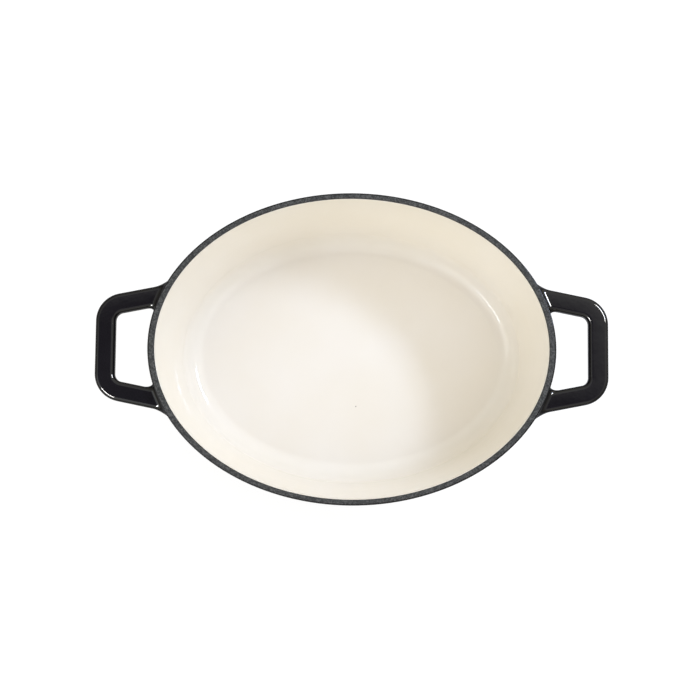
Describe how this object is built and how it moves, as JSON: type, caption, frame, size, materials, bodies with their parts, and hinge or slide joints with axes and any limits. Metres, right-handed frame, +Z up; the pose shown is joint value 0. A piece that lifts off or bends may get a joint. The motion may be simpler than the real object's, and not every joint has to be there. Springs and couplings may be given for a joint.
{
  "type": "oval casserole",
  "caption": "Oval cast iron casserole without a lid, cream enamel inside and black enamel outside, with a flat loop handle at each end.",
  "frame": {"origin": "middle of the ground foot ring's face, where the pot stands", "axes": "+X towards the right-hand handle, +Y towards the back of the pot as pictured, +Z up"},
  "size_m": [0.3664, 0.2222, 0.095],
  "materials": {
    "cast_iron": "matte as cast, mottled grey where it is bare at the rim and foot",
    "cream_enamel": "gloss cream",
    "black_enamel": "gloss black",
    "base_enamel": "satin black"
  },
  "bodies": {
    "root": {"bowl_iron": "cast_iron", "cream_lining": "cream_enamel", "black_wall_coat": "black_enamel", "black_base_coat": "base_enamel", "right_handle_iron": "cast_iron", "right_handle_coat": "black_enamel", "left_handle_iron": "cast_iron", "left_handle_coat": "black_enamel"}
  },
  "joints": []
}
